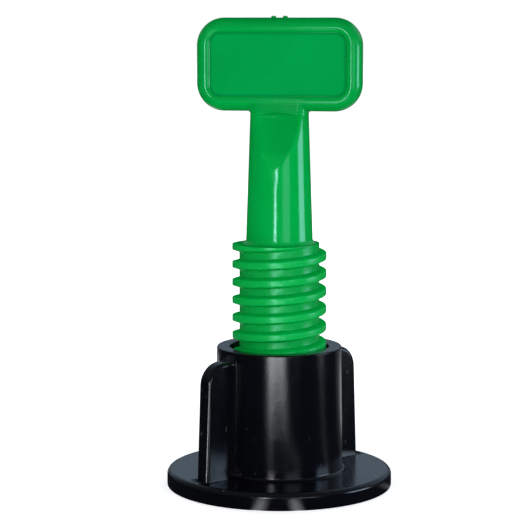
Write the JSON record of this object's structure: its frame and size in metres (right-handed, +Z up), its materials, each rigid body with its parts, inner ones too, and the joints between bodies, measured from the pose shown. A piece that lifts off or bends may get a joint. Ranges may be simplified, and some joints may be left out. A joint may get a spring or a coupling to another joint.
{
  "type": "tile levelling screw",
  "caption": "T-handled screw turning in a winged base nut, with a steel T-pin inside that draws neighbouring tiles level.",
  "frame": {"origin": "centre of the base nut's underside, on the screw's axis", "axes": "+Z up along the screw's axis, -Y out of the handle paddle's front panel, +X along the paddle"},
  "size_m": [0.038, 0.038, 0.0789],
  "materials": {
    "black_plastic": "glossy moulded black plastic",
    "green_plastic": "glossy moulded green plastic, finely matt on the sunk panels",
    "steel_pin": "drawn steel wire"
  },
  "bodies": {
    "base": {"base_nut": "black_plastic"},
    "pin": {"tile_pin": "steel_pin"},
    "screw": {"handle_screw": "green_plastic"}
  },
  "joints": [
    {"name": "screw_lift", "type": "slide", "parent": "base", "child": "pin", "axis": [0, 0, 1], "range_m": [-0.0174, 0.0024]},
    {"name": "screw_turn", "type": "hinge", "parent": "pin", "child": "screw", "pos_m": [0, 0, 0.03], "axis": [0, 0, 1], "range_deg": [-2088, 288]}
  ],
  "couplings": [
    {"joint": "screw_turn", "follows": "screw_lift", "rad_per_m": 2094.4}
  ]
}
